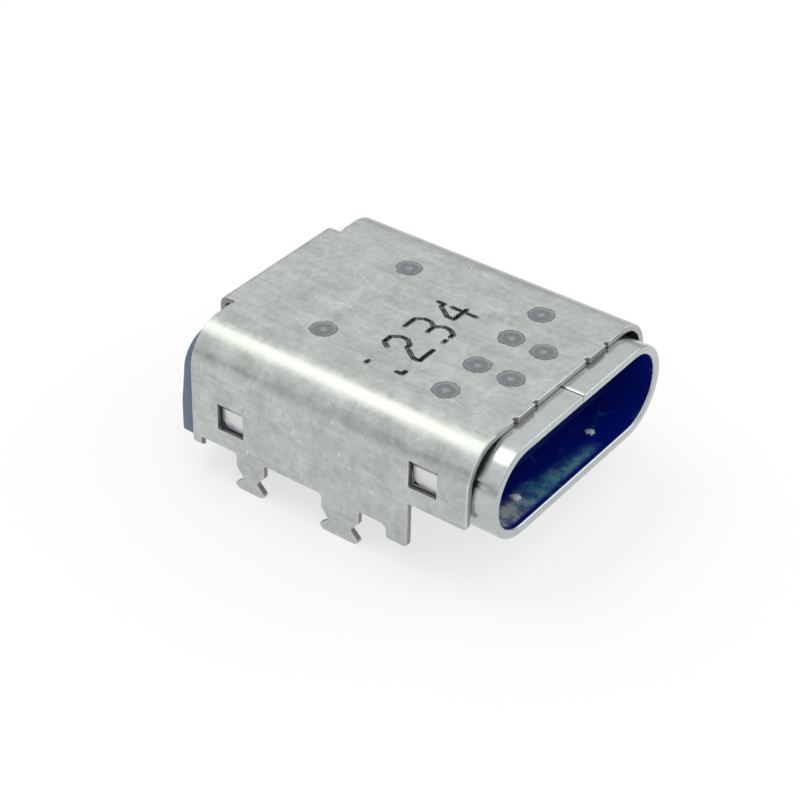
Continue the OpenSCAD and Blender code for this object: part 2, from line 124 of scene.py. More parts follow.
GRAIN_DEPTH = 0.01 * MM
WELD_DEPTH = 0.025 * MM
TEAR_DEPTH = 0.03 * MM

# ---- Colours; in a pair the mask leads from the first to the second ----

TIN = ((0.39, 0.412, 0.396), (0.55, 0.58, 0.556))
TIN_SCRATCH = (0.75, 0.77, 0.75)
# Rounded edges painted lighter: edge wear and painted highlight
TIN_WORN_SHEEN = (0.68, 0.69, 0.67)
TIN_CUT = ((0.2, 0.195, 0.21), (0.44, 0.43, 0.43))
WELD = ((0.36, 0.375, 0.38), (0.17, 0.182, 0.19))
# Painted light on the recessed faces of the lances
LANCE_PAINTED_LIGHT = (0.74, 0.755, 0.745)
DRAWN_STEEL = ((0.425, 0.46, 0.46), (0.5, 0.54, 0.535))
# Rounded edges painted lighter: edge wear and painted highlight
DRAWN_WORN_SHEEN = (0.68, 0.71, 0.7)
# Painted shade: the mouth's inner wall is the same steel as outside, painted dark blue; the second colour
# is for its painted faint reflections
LINING_PAINTED_SHADE = ((0.001, 0.007, 0.17), (0.03, 0.16, 0.24))
# Painted reflection of light along the mouth's floor: teal, turning grey at the left end
PAINTED_REFLECTION = ((0.08, 0.25, 0.3), (0.38, 0.43, 0.42))
# Painted glint on the two bumps in the mouth's floor
BUMP_PAINTED_GLINT = (0.95, 0.97, 0.96)
HOUSING = ((0.082, 0.108, 0.172), (0.126, 0.158, 0.236))
# Painted shade: the tongue's black plastic, painted far darker than the housing's deep inside the mouth
TONGUE_PAINTED_SHADE = ((0.0005, 0.0025, 0.05), (0.001, 0.005, 0.08))
GILT = ((0.62, 0.43, 0.16), (0.76, 0.56, 0.26))
TAIL_TIN = ((0.4, 0.41, 0.41), (0.56, 0.57, 0.56))
PLATE = ((0.34, 0.35, 0.36), (0.46, 0.47, 0.48))
INK_OUTLINE = ((0.035, 0.05, 0.056), (0.11, 0.125, 0.125))
INK_MIDDLE = ((0.17, 0.18, 0.22), (0.29, 0.31, 0.3))

# ---- Roughness, least and most ----

TIN_ROUGH = (0.285, 0.39)
WELD_ROUGHER = 0.12         # added on a spot weld
CUT_ROUGHER = 0.2           # added on a sheared face
DRAWN_ROUGH = (0.17, 0.27)
PLATED_ROUGH = (0.285, 0.4)
PAINTED_SHADE_ROUGH = (0.4, 0.5)
INK_ROUGH = (0.35, 0.6)
HOUSING_ROUGH = 0.36
TONGUE_ROUGH = 0.5
PLASTIC_SPREAD = 0.06       # how far plastic's roughness strays from its middle value
PAINTED_SHADE_SHEEN = 0.06         # specular levels
TONGUE_SHEEN = 0.02
FLOOR_SHEEN = 0.1

# ---- Ink ----

# Digits in rows of dots, top row first, as a simple ink head prints them
DIGITS = {
    "1": ("..#..", ".##..", "..#..", "..#..", "..#..", "..#..", ".###."),
    "2": (".###.", "#...#", "....#", "..##.", ".#...", "#....", "#####"),
    "3": ("####.", "....#", "....#", ".###.", "....#", "....#", "####."),
    "4": ("...#.", "..##.", ".#.#.", "#..#.", "#####", "...#.", "...#."),
}
INK_WORD = "1234"
INK_LEFT = -2.95 * MM       # left edge of the first digit
INK_FOOT = 4.58 * MM        # lower ends of the digits, from the lip
INK_STEP = 1.2 * MM         # from one digit to the next
INK_COLUMN = 0.17 * MM      # from one column of dots to the next
INK_ROW = 0.235 * MM        # from one row of dots to the next
INK_DOT = 0.088 * MM        # radius of a dot
INK_HEART = 0.55            # the pale middle of a dot, as a share of its radius
INK_JOIN = 7                # steps from one lit dot to the next along a stroke
INK_SHIFT = 0.008 * MM      # most that a dot lies off its place
INK_PROUD = 0.003 * MM      # how far the ink stands out from the sheet
INK_TAPER = 0.9             # a dot's upper radius as a share of its lower one
INK_SIDES = 10              # sides of a dot
INK_SPREAD = (0.88, 1.06)   # least and most of a dot's size, as a share of INK_DOT
INK_RUBBED = 0.6            # share of the first digit that has rubbed off
INK_LOST = 0.06             # and of the other digits
INK_SEED = 8

# ---- Stage ----

FLOOR_HALF = 0.6            # half the floor's width
FLOOR_GREY = (0.3, 0.3, 0.3, 1)
FLOOR_GLOW = 0.66
WHITE = (1, 1, 1, 1)
LAMP_AWAY = 0.16            # from a lamp to the middle of the part
WARM_WHITE = (1.0, 0.98, 0.86)
CAMERA_PLACE = Vector((-45.199, -32.529, 40.481)) * MM
CAMERA_TURN = math.radians(54.63)   # to the right of straight ahead
CAMERA_DOWN = math.radians(35.47)
CAMERA_ROLL = math.radians(1.56)
CAMERA_LENS = 99.3          # focal length and width of the film, in millimetres
CAMERA_FILM = 36.0
CAMERA_NEAR = 1 * MM        # nothing nearer than this is shown


# ---- Node trees ----

def is_socket(value):
    return isinstance(value, bpy.types.NodeSocket)


def plug(tree, socket, value):
    """Gives a socket a value, or joins it to another node's socket."""
    if is_socket(value):
        tree.links.new(value, socket)
    else:
        socket.default_value = value


def add(tree, kind, inputs=None, **settings):
    """A node with its settings and its inputs, each a value or another node's socket."""
    node = tree.nodes.new(kind)
    for name, value in settings.items():
        setattr(node, name, value)
    for name, value in (inputs or {}).items():
        plug(tree, node.inputs[name], value)
    return node


def math_node(tree, operation, first, second=0.0, third=0.0, clamp=False):
    return add(tree, "ShaderNodeMath", {0: first, 1: second, 2: third},
               operation=operation, use_clamp=clamp).outputs[0]


def product(tree, first, *others):
    """All the values multiplied."""
    for other in others:
        first = math_node(tree, "MULTIPLY", first, other)
    return first


def swayed(tree, base, value, amount, clamp=False):
    """base moved up or down by amount times what value differs from one half."""
    return math_node(tree, "MULTIPLY_ADD", math_node(tree, "SUBTRACT", value, 0.5), amount, base, clamp)


def distance(tree, first, second):
    return add(tree, "ShaderNodeVectorMath", {0: first, 1: second}, operation="DISTANCE").outputs["Value"]


def noise(tree, place, scale, detail=2.0, roughness=0.5, distortion=0.0):
    return add(tree, "ShaderNodeTexNoise", {
        "Vector": place, "Scale": scale, "Detail": detail, "Roughness": roughness,
        "Distortion": distortion}).outputs["Fac"]


def ramp(tree, value, low, high, to_low=0.0, to_high=1.0):
    """value moved from the range low..high to to_low..to_high, smoothly and held at both ends."""
    return add(tree, "ShaderNodeMapRange", {
        "Value": value, "From Min": low, "From Max": high, "To Min": to_low, "To Max": to_high},
        interpolation_type="SMOOTHSTEP").outputs["Result"]


def fade(tree, value, low, high):
    """1 below low, 0 above high."""
    return ramp(tree, value, low, high, 1.0, 0.0)


def band(tree, value, rise, full, fall, gone):
    """1 from full to fall, 0 before rise and after gone."""
    return product(tree, ramp(tree, value, rise, full), fade(tree, value, fall, gone))


def mix_colour(tree, share, first, second):
    """The first colour where share is 0, the second where it is 1."""
    node = add(tree, "ShaderNodeMix", {"Factor": share}, data_type="RGBA", blend_type="MIX")
    colour_in_a, colour_in_b, colour_out = node.inputs[6], node.inputs[7], node.outputs[2]
    for socket, colour in ((colour_in_a, first), (colour_in_b, second)):
        plug(tree, socket, colour if is_socket(colour) else (*colour, 1.0))
    return colour_out


def new_group(name, sockets_in, numbers_out):
    """An empty node group; the sockets going in are (name, type, default), the others are numbers."""
    group = bpy.data.node_groups.new(name, "ShaderNodeTree")
    for label, kind, default in sockets_in:
        socket = group.interface.new_socket(name=label, in_out="INPUT", socket_type=kind)
        if default is not None:
            socket.default_value = default
    for label in numbers_out:
        group.interface.new_socket(name=label, in_out="OUTPUT", socket_type="NodeSocketFloat")
    start = group.nodes.new("NodeGroupInput").outputs
    end = group.nodes.new("NodeGroupOutput").inputs
    return group, start, end


def place_group(tree, group, inputs):
    """The outputs of one use of the group."""
    return add(tree, "ShaderNodeGroup", inputs, node_tree=group).outputs


def stretched(tree, place, scale, turn=0.0):
    """place turned about Z and then stretched."""
    turned = add(tree, "ShaderNodeMapping", {"Vector": place, "Rotation": (0.0, 0.0, turn)}).outputs[0]
    return add(tree, "ShaderNodeMapping", {"Vector": turned, "Scale": scale}).outputs[0]


def scaled_to_mm(tree, place):
    """place in millimetres, which is the scale of every noise here."""
    return add(tree, "ShaderNodeVectorMath", {0: place, "Scale": 1 / MM}, operation="SCALE").outputs[0]


def make_rolled_sheet():
    """Rolled and plated sheet: cloudy tone, fine streaks along its length, peel and short scratches."""
    group, start, end = new_group("rolled_sheet", [
        ("Place", "NodeSocketVector", None),
        ("Cloud size", "NodeSocketFloat", 1.0),
        ("Streaks", "NodeSocketFloat", 1.0),
        ("Scratches", "NodeSocketFloat", 1.0),
    ], ["Tone", "Gloss loss", "Height", "Scratch"])
    place = scaled_to_mm(group, start["Place"])
    cloud = noise(group, place, start["Cloud size"], detail=3.0, roughness=0.6, distortion=0.8)
    fine = noise(group, place, 5.0, detail=1.0)
    streak = noise(group, stretched(group, place, (7.0, 0.6, 7.0)), 1.0, detail=1.0)
    scratches = 0.0
    # Three crossing sets of short scratches: the turn of each, and the scale of the patches that have it
    for turn, patch_scale in ((0.4, 0.96), (-0.6, 1.12), (1.2, 1.36)):
        line = noise(group, stretched(group, place, (18.0, 0.55, 2.0), turn), 1.0, detail=1.0)
        patch = noise(group, place, patch_scale, detail=1.0)
        one_set = product(group, ramp(group, line, 0.68, 0.74), ramp(group, patch, 0.52, 0.62))
        scratches = math_node(group, "MAXIMUM", scratches, one_set)
    scratch = product(group, scratches, start["Scratches"])
    streak_part = product(group, math_node(group, "SUBTRACT", streak, 0.5), start["Streaks"])
    tone = swayed(group, 0.5, cloud, 1.9)
    tone = math_node(group, "MULTIPLY_ADD", streak_part, 0.9, tone)
    tone = swayed(group, tone, fine, 1.0, clamp=True)
    loss = math_node(group, "MULTIPLY_ADD", scratch, -0.2, tone, clamp=True)
    height = math_node(group, "MULTIPLY_ADD", streak_part, 0.5, product(group, fine, 0.3))
    height = math_node(group, "MULTIPLY_ADD", cloud, 0.5, height)
    for label, value in (("Tone", tone), ("Gloss loss", loss), ("Height", height), ("Scratch", scratch)):
        group.links.new(value, end[label])
    return group


def make_weld_mark():
    """A spot weld: a ragged round mark with a dark rim, a paler ring and a pale dot in its middle."""
    group, start, end = new_group("weld_mark", [
        ("Place", "NodeSocketVector", None),
        ("Centre", "NodeSocketVector", None),
        ("Radius", "NodeSocketFloat", WELD_R / MM),
    ], ["Mask", "Shade", "Height"])
    place = scaled_to_mm(group, start["Place"])
    level = {0: place, 1: (1.0, 1.0, 0.0)}
    flat = add(group, "ShaderNodeVectorMath", level, operation="MULTIPLY").outputs[0]
    reach = distance(group, flat, start["Centre"])
    coarse = noise(group, place, 4.5, detail=1.0)
    frayed = noise(group, place, 16.0, detail=3.0, roughness=0.7)
    reach = swayed(group, reach, coarse, 0.13)
    reach = swayed(group, reach, frayed, 0.12)
    # From here on, places are shares of the radius
    part = math_node(group, "DIVIDE", reach, start["Radius"])
    mask = fade(group, part, 0.92, 1.02)
    rim = band(group, part, 0.84, 0.93, 0.95, 1.02)
    ring = band(group, part, 0.62, 0.74, 0.8, 0.9)
    dot = fade(group, part, 0.16, 0.34)
    shade = math_node(group, "MULTIPLY_ADD", rim, 0.2, 0.78)
    shade = math_node(group, "MULTIPLY_ADD", ring, -0.4, shade)
    shade = math_node(group, "MULTIPLY_ADD", dot, -0.6, shade)
    shade = swayed(group, shade, frayed, 0.9, clamp=True)
    dish = product(group, fade(group, part, 0.6, 0.98), -1.0)
    dish = math_node(group, "MULTIPLY_ADD", dot, 0.4, dish)
    for label, value in (("Mask", mask), ("Shade", shade), ("Height", dish)):
        group.links.new(value, end[label])
    return group


ROLLED_SHEET = make_rolled_sheet()
WELD_MARK = make_weld_mark()


def new_material(name):
    """A material with its node tree, its Principled shader and the place on the part."""
    material = bpy.data.materials.new(name)
    material.use_nodes = True
    tree = material.node_tree
    shader = next(n for n in tree.nodes if n.type == "BSDF_PRINCIPLED")
    place = add(tree, "ShaderNodeTexCoord").outputs["Object"]
    return material, tree, shader, place


def feed(tree, shader, **sockets):
    """Plugs values into the shader; a socket's name has _ for a space."""
    for name, value in sockets.items():
        plug(tree, shader.inputs[name.replace("_", " ")], value)


def bumped(tree, height, strength, depth=GRAIN_DEPTH, over=None):
    """The normal that a relief gives, laid over another one's where that is given."""
    inputs = {"Height": height, "Strength": strength, "Distance": depth}
    if over is not None:
        inputs["Normal"] = over
    return add(tree, "ShaderNodeBump", inputs).outputs[0]


def own_mask(tree, name):
    """A mask that the piece's mesh carries on its faces."""
    return add(tree, "ShaderNodeAttribute", attribute_name=name).outputs["Fac"]


def weld_marks(tree, parts):
    """Mask, shade and dish of all the spot welds, on the top only."""
    upward = ramp(tree, parts["Z"], TOP_Z - 0.06 * MM, TOP_Z - 0.03 * MM)
    # The right half is the left half mirrored
    folded = add(tree, "ShaderNodeCombineXYZ", {
        "X": math_node(tree, "ABSOLUTE", parts["X"]), "Y": parts["Y"], "Z": parts["Z"]}).outputs[0]
    mask, shade, dish = 0.0, 0.0, 0.0
    for from_middle, from_lip in WELDS:
        centre = (from_middle, LIP_Y / MM + from_lip, 0.0)
        weld = place_group(tree, WELD_MARK, {"Place": folded, "Centre": centre})
        mask = math_node(tree, "MAXIMUM", mask, weld["Mask"])
        shade = math_node(tree, "MULTIPLY_ADD", weld["Mask"], weld["Shade"], shade)
        dish = math_node(tree, "MULTIPLY_ADD", weld["Mask"], weld["Height"], dish)
    return product(tree, mask, upward), shade, product(tree, dish, upward)


def lance_light_mask(tree, parts, from_lip, top):
    """Where the face of one lance, seen through its window, is painted lighter: painted light over the
    shade of its recess.
    """
    beside = math_node(tree, "ABSOLUTE", math_node(tree, "SUBTRACT", parts["Y"], LIP_Y + from_lip))
    above = math_node(tree, "SUBTRACT", parts["Z"], AXIS_Z + top)
    between_sides = fade(tree, beside, WINDOW_HALF - WINDOW_BLUR, WINDOW_HALF)
    below_root = fade(tree, above, -LANCE_SHADE, -SHADE_START)
    above_tip = ramp(tree, above, -LANCE_TALL, -LANCE_TALL + TIP_BLUR)
    return product(tree, between_sides, below_root, above_tip)


def shield_steel():
    """Dull tin over rolled sheet, darker and rougher on sheared faces, lighter on rounded edges as edge
    wear and painted highlight.
    """
    material, tree, shader, place = new_material("shield_steel")
    sheet = place_group(tree, ROLLED_SHEET, {
        "Place": place, "Cloud size": 1.1, "Streaks": 1.0, "Scratches": 1.0})
    colour = mix_colour(tree, sheet["Tone"], *TIN)
    colour = mix_colour(tree, product(tree, sheet["Scratch"], 0.45), colour, TIN_SCRATCH)
    rough = ramp(tree, sheet["Gloss loss"], 0.0, 1.0, *TIN_ROUGH)
    parts = add(tree, "ShaderNodeSeparateXYZ", {0: place}).outputs
    weld, weld_shade, weld_dish = weld_marks(tree, parts)
    colour = mix_colour(tree, weld, colour, mix_colour(tree, weld_shade, *WELD))
    rough = math_node(tree, "MULTIPLY_ADD", weld, WELD_ROUGHER, rough)
    for from_lip, top in WINDOWS:
        lance = lance_light_mask(tree, parts, from_lip, top)
        # Painted light: each lance's face is lightened against the shade of its recess
        colour = mix_colour(tree, product(tree, lance, 0.8), colour, LANCE_PAINTED_LIGHT)
    grit = noise(tree, scaled_to_mm(tree, place), 22.0, detail=3.0, roughness=0.7)
    cut = own_mask(tree, "cut_edge")
    colour = mix_colour(tree, cut, colour, mix_colour(tree, grit, *TIN_CUT))
    rough = math_node(tree, "MULTIPLY_ADD", cut, CUT_ROUGHER, rough)
    worn = own_mask(tree, "worn_sheen_edge")
    # Rounded edges lighter: edge wear and painted highlight
    colour = mix_colour(tree, product(tree, worn, 0.5), colour, TIN_WORN_SHEEN)
    fine = bumped(tree, sheet["Height"], 0.3)
    dished = bumped(tree, weld_dish, 1.0, WELD_DEPTH, over=fine)
    torn = bumped(tree, product(tree, grit, cut), 0.6, TEAR_DEPTH, over=dished)
    feed(tree, shader, Base_Color=colour, Metallic=1.0, Roughness=rough, Normal=torn)
    return material


def shell_steel():
    """Bright drawn steel, brighter still on rounded edges."""
    material, tree, shader, place = new_material("shell_steel")
    sheet = place_group(tree, ROLLED_SHEET, {
        "Place": place, "Cloud size": 0.7, "Streaks": 0.6, "Scratches": 0.6})
    colour = mix_colour(tree, sheet["Tone"], *DRAWN_STEEL)
    rough = ramp(tree, sheet["Gloss loss"], 0.0, 1.0, *DRAWN_ROUGH)
    worn = own_mask(tree, "worn_sheen_edge")
    # Rounded edges lighter: edge wear and painted highlight
    colour = mix_colour(tree, product(tree, worn, 0.5), colour, DRAWN_WORN_SHEEN)
    feed(tree, shader, Base_Color=colour, Metallic=1.0, Roughness=rough,
         Normal=bumped(tree, sheet["Height"], 0.18))
    return material


def mouth_painted_shade():
    """The mouth's inside, painted dark blue as shade, with a painted grey reflection along its floor and
    painted glints on the two bumps.
    """
    material, tree, shader, place = new_material("mouth_painted_shade")
    shader.inputs["Specular IOR Level"].default_value = PAINTED_SHADE_SHEEN
    scaled = scaled_to_mm(tree, place)
    parts = add(tree, "ShaderNodeSeparateXYZ", {0: scaled}).outputs
    across = parts["X"]
    depth = math_node(tree, "SUBTRACT", parts["Y"], LIP_Y / MM)
    low_down = fade(tree, parts["Z"], AXIS_Z / MM - 0.95, AXIS_Z / MM - 0.4)
    cloud = noise(tree, scaled, 1.3, detail=4.0, roughness=0.6, distortion=0.6)
    patch = noise(tree, scaled, 2.8, detail=4.0, roughness=0.65)
    fleck = noise(tree, scaled, 9.0, detail=3.0, roughness=0.6)
    # The painted reflection starts behind the lip and reaches less deep towards the right
    reach = math_node(tree, "MULTIPLY_ADD", across, 0.13, depth)
    reach = swayed(tree, reach, cloud, 0.7)
    reach = swayed(tree, reach, fleck, 0.25)
    reflection_share = product(tree, fade(tree, reach, 0.35, 0.95), ramp(tree, depth, 0.15, 0.34),
                    fade(tree, across, 1.0, 1.9), low_down, ramp(tree, patch, 0.36, 0.6, 0.3, 1.0))
    grey_end = fade(tree, across, -2.9, -1.4)
    reflection_colour = mix_colour(tree, grey_end, *PAINTED_REFLECTION)
    wisp = product(tree, ramp(tree, cloud, 0.56, 0.7), 0.35)
    # Painted faint reflections in the painted shade
    blue = mix_colour(tree, wisp, *LINING_PAINTED_SHADE)
    colour = mix_colour(tree, reflection_share, blue, reflection_colour)
    # Painted glints on the two bumps: lighter colour and partly metallic
    spot = add(tree, "ShaderNodeCombineXYZ", {
        "X": math_node(tree, "ABSOLUTE", across), "Y": depth, "Z": 0.0}).outputs[0]
    to_bump = distance(tree, spot, (BUMP_X / MM, BUMP_Y / MM, 0.0))
    to_bump = swayed(tree, to_bump, fleck, 0.3)
    glint_share = product(tree, fade(tree, to_bump, 0.08, 0.19), low_down)
    colour = mix_colour(tree, glint_share, colour, BUMP_PAINTED_GLINT)
    feed(tree, shader, Base_Color=colour, Metallic=product(tree, glint_share, 0.5),
         Roughness=ramp(tree, fleck, 0.3, 0.7, *PAINTED_SHADE_ROUGH), Normal=bumped(tree, fleck, 0.15))
    return material


def moulded_plastic(name, colours, rough, sheen=0.5):
    """Moulded plastic with flow marks and a fine grain; sheen is its specular level."""
    material, tree, shader, place = new_material(name)
    shader.inputs["Specular IOR Level"].default_value = sheen
    scaled = scaled_to_mm(tree, place)
    grain = noise(tree, scaled, 30.0, detail=3.0, roughness=0.6)
    flow = noise(tree, scaled, 1.2, detail=3.0, distortion=1.0)
    feed(tree, shader, Base_Color=mix_colour(tree, flow, *colours),
         Roughness=ramp(tree, flow, 0.3, 0.7, rough - PLASTIC_SPREAD, rough + PLASTIC_SPREAD),
         Normal=bumped(tree, grain, 0.2))
    return material


def plated_contact():
    """Gilt in the mouth, dull tin on the tails."""
    material, tree, shader, place = new_material("contact_metal")
    sheet = place_group(tree, ROLLED_SHEET, {
        "Place": place, "Cloud size": 2.0, "Streaks": 0.5, "Scratches": 0.4})
    gold = mix_colour(tree, sheet["Tone"], *GILT)
    tin = mix_colour(tree, sheet["Tone"], *TAIL_TIN)
    along = add(tree, "ShaderNodeSeparateXYZ", {0: place}).outputs["Y"]
    behind = ramp(tree, along, GILT_END, TIN_START)
    feed(tree, shader, Base_Color=mix_colour(tree, behind, gold, tin), Metallic=1.0,
         Roughness=ramp(tree, sheet["Gloss loss"], 0.0, 1.0, *PLATED_ROUGH),
         Normal=bumped(tree, sheet["Height"], 0.15))
    return material


def plate_steel():
    """Stamped steel of the plates between and on the tongue's halves."""
    material, tree, shader, place = new_material("plate_steel")
    sheet = place_group(tree, ROLLED_SHEET, {
        "Place": place, "Cloud size": 1.2, "Streaks": 1.0, "Scratches": 0.4})
    feed(tree, shader, Base_Color=mix_colour(tree, sheet["Tone"], *PLATE), Metallic=1.0,
         Roughness=ramp(tree, sheet["Gloss loss"], 0.0, 1.0, *PLATED_ROUGH),
         Normal=bumped(tree, sheet["Height"], 0.2))
    return material


def marking_ink():
    """Dried ink with a dark outline, greyer where it has rubbed thin."""
    material, tree, shader, place = new_material("marking_ink")
    worn = noise(tree, scaled_to_mm(tree, place), 2.6, detail=4.0, roughness=0.7)
    outline = mix_colour(tree, ramp(tree, worn, 0.42, 0.68), *INK_OUTLINE)
    middle = mix_colour(tree, ramp(tree, worn, 0.36, 0.6), *INK_MIDDLE)
    colour = mix_colour(tree, own_mask(tree, "ink_rim"), middle, outline)
    feed(tree, shader, Base_Color=colour, Roughness=ramp(tree, worn, 0.3, 0.7, *INK_ROUGH))
    return material


# ---- Pieces ----

def placed(name, data):
    """A new object in the scene."""
    made = bpy.data.objects.new(name, data)
    bpy.context.scene.collection.objects.link(made)
    return made


def merged_copy(node):
    """The CAD node's own mesh with its loose triangles joined."""
    bm = bmesh.new()
    bm.from_mesh(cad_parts[node].data)
    bmesh.ops.remove_doubles(bm, verts=bm.verts, dist=MERGE)
    return bm


def mark_cut_faces(bm):
    """Marks the shield's sheared faces: the ones whose far side lies beyond the sheet's thickness."""
    mark = bm.faces.layers.float.new("cut_edge")
    solid = BVHTree.FromBMesh(bm)
    for face in bm.faces:
        inward = -face.normal
        start = face.calc_center_median() + inward * SHEET * 0.02
        hit = solid.ray_cast(start, inward, SHEET * 1.2)[0]
        face[mark] = 1.0 if hit is None else 0.0


def join_flat_faces(bm):
    bmesh.ops.dissolve_limit(bm, angle_limit=FLAT_ANGLE, verts=bm.verts, edges=bm.edges)


def drawn_front_edges(bm, front_y):
    """The outer edges of a sheet part's front, which are rounded more than its sheared ones."""
    found = []
    for edge in bm.edges:
        if not edge.is_manifold or max(abs(v.co.y - front_y) for v in edge.verts) > ON_FRONT:
            continue
        middle = (edge.verts[0].co + edge.verts[1].co) / 2 - Vector((0, 0, AXIS_Z))
        walls = [f for f in edge.link_faces if abs(f.normal.y) < 0.1]
        if len(walls) == 1 and walls[0].normal.dot(middle) > 0.3 * middle.length:
            found.append(edge)
    return found


def round_edges(bm, edges, radius, segments):
    """Rounds the edges and marks the new faces, which the metals paint lighter as edge wear and as a
    painted highlight.
    """
    mark = bm.faces.layers.float.get("worn_sheen_edge") or bm.faces.layers.float.new("worn_sheen_edge")
    done = bmesh.ops.bevel(bm, geom=edges, offset=radius, offset_type="OFFSET", affect="EDGES",
                           segments=segments, profile=0.5, material=-1, clamp_overlap=False)
    for face in done["faces"]:
        face[mark] = 1.0


def at_lance_root(edge):
    """Whether an edge lies where a lance leaves the sheet, which stays one smooth surface."""
    for from_lip, top in WINDOWS:
        if all(abs(v.co.y - LIP_Y - from_lip) < WINDOW_HALF + LANCE_SLACK
               and top - LANCE_ROOT - LANCE_SLACK < v.co.z - AXIS_Z < top + LANCE_ABOVE
               for v in edge.verts):
            return True
    return False


def ease_edges(bm, radius):
    """Rounds every sharp edge."""
    edges = [e for e in bm.edges
             if e.is_manifold and e.calc_face_angle() > SHARP_ANGLE and not at_lance_root(e)]
    round_edges(bm, edges, radius, EASE_STEPS)


def finished_piece(name, bm, materials, slot, *nodes):
    """Makes the bmesh a piece that rides on the part and stands for the CAD nodes."""
    for face in bm.faces:
        face.smooth = True
    mesh = bpy.data.meshes.new(name)
    bm.to_mesh(mesh)
    bm.free()
    piece = placed(name, mesh)
    for material in materials:
        mesh.materials.append(material)
    even = piece.modifiers.new("even_normals", "WEIGHTED_NORMAL")
    even.mode = "FACE_AREA"
    even.keep_sharp = True
    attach(piece, "root")
    if nodes:
        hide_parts(*nodes)


def make_shield():
    """The folded sheet, with its sheared faces marked and its edges rounded."""
    bm = merged_copy("shield")
    mark_cut_faces(bm)
    join_flat_faces(bm)
    front_y = shield_low.y + STUB_OUT
    mark = bm.faces.layers.float["cut_edge"]
    for face in bm.faces:
        if face.normal.y < -0.9 and abs(face.calc_center_median().y - front_y) < ON_FRONT:
            face[mark] = FRONT_SHEAR
    round_edges(bm, drawn_front_edges(bm, front_y), FRONT_EASE, WIDE_STEPS)
    ease_edges(bm, SHIELD_EASE)
    for edge in bm.edges:
        if edge.is_manifold and edge.calc_face_angle() > LANCE_CREASE and at_lance_root(edge):
            edge.smooth = False
    finished_piece("shield_sheet", bm, [shield_steel()], "shield_steel", "shield")


def in_mouth(point):
    """Whether a point lies on the mouth's wall or nearer to its middle."""
    past_end = max(abs(point.x) - MOUTH_END_X, 0.0)
    return math.hypot(past_end, point.z - AXIS_Z) < MOUTH_R + MOUTH_SLACK


def make_shell():
    """The rolled tube, bright outside and painted dark blue as shade inside the mouth."""
    bm = merged_copy("shell")
    join_flat_faces(bm)
    along_seam = []
    for edge in bm.edges:
        first, second = (v.co for v in edge.verts)
        on_top = min(first.z, second.z) > shell_high.z - ON_SHELL_TOP
        at_seam = max(abs(first.x), abs(second.x)) < SEAM_REACH
        if on_top and at_seam and abs(first.y - second.y) > SEAM_SHORTEST:
            along_seam.append(edge)
    round_edges(bm, along_seam, SEAM_EASE, WIDE_STEPS)
    ease_edges(bm, SHELL_EASE)
    # Faces inside the mouth take the painted shade
    for face in bm.faces:
        if all(in_mouth(v.co) for v in face.verts):
            face.material_index = 1
    finished_piece("mouth_shell", bm, [shell_steel(), mouth_painted_shade()], "shell_steel", "shell")


def make_housing():
    """The moulded block behind the mouth."""
    bm = merged_copy("housing")
    join_flat_faces(bm)
    ease_edges(bm, HOUSING_EASE)
    plastic = moulded_plastic("housing_plastic", HOUSING, HOUSING_ROUGH)
    finished_piece("rear_housing", bm, [plastic], "housing_plastic", "housing")


def ink_strokes(digit):
    """For each lit dot of a digit, the columns and rows of it and of the dots that join it to the next."""
    lit = {(column, 6 - row) for row, line in enumerate(DIGITS[digit])
           for column, cell in enumerate(line) if cell == "#"}
    strokes = []
    for column, row in sorted(lit):
        stroke = [(column, row)]
        for right, up in ((1, 0), (0, 1), (1, 1), (1, -1)):
            beside = (column + right, row + up)
            corner = right and up and ((column + right, row) in lit or (column, row + up) in lit)
            if beside in lit and not corner:
                parts = [part / INK_JOIN for part in range(1, INK_JOIN)]
                stroke += [(column + right * part, row + up * part) for part in parts]
        strokes.append(stroke)
    return strokes


def ink_dot(bm, mark, at, radius, rim):
    """One flat dot of ink; rim tells the dark dried outline from the pale middle."""
    dot = bmesh.ops.create_cone(bm, cap_ends=True, segments=INK_SIDES, radius1=radius,
                                radius2=radius * INK_TAPER, depth=INK_PROUD)
    bmesh.ops.translate(bm, verts=dot["verts"], vec=at)
    for vert in dot["verts"]:
        for face in vert.link_faces:
            face[mark] = rim


def print_digits():
    """Plain digits on the top in dots of ink that run together; the first one is mostly rubbed off."""
    bm = bmesh.new()
    mark = bm.faces.layers.float.new("ink_rim")
    chance = random.Random(INK_SEED)
    for place, digit in enumerate(INK_WORD):
        for stroke in ink_strokes(digit):
            if chance.random() < (INK_RUBBED if place == 0 else INK_LOST):
                continue
            for column, row in stroke:
                radius = INK_DOT * chance.uniform(*INK_SPREAD)
                shift_x = chance.uniform(-INK_SHIFT, INK_SHIFT)
                shift_y = chance.uniform(-INK_SHIFT, INK_SHIFT)
                at = Vector((INK_LEFT + place * INK_STEP + column * INK_COLUMN + shift_x,
                             LIP_Y + INK_FOOT + row * INK_ROW + shift_y,
                             TOP_Z + INK_PROUD / 2))
                ink_dot(bm, mark, at, radius, 1.0)
                ink_dot(bm, mark, at + Vector((0, 0, INK_PROUD / 2)), radius * INK_HEART, 0.0)
    finished_piece("ink_digits", bm, [marking_ink()], "housing_plastic")


def dress_inner_nodes():
    """Gives the nodes that keep their own meshes their materials."""
    # The tongue's plastic carries painted shade
    tongue = moulded_plastic("tongue_plastic", TONGUE_PAINTED_SHADE, TONGUE_ROUGH, TONGUE_SHEEN)
    contact = plated_contact()
    plate = plate_steel()
    for name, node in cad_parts.items():
        if "insulator" in name:
            node.data.materials[0] = tongue
        elif "contact" in name:
            node.data.materials[0] = contact
        elif "plate" in name:
            node.data.materials[0] = plate


# ---- Stage ----

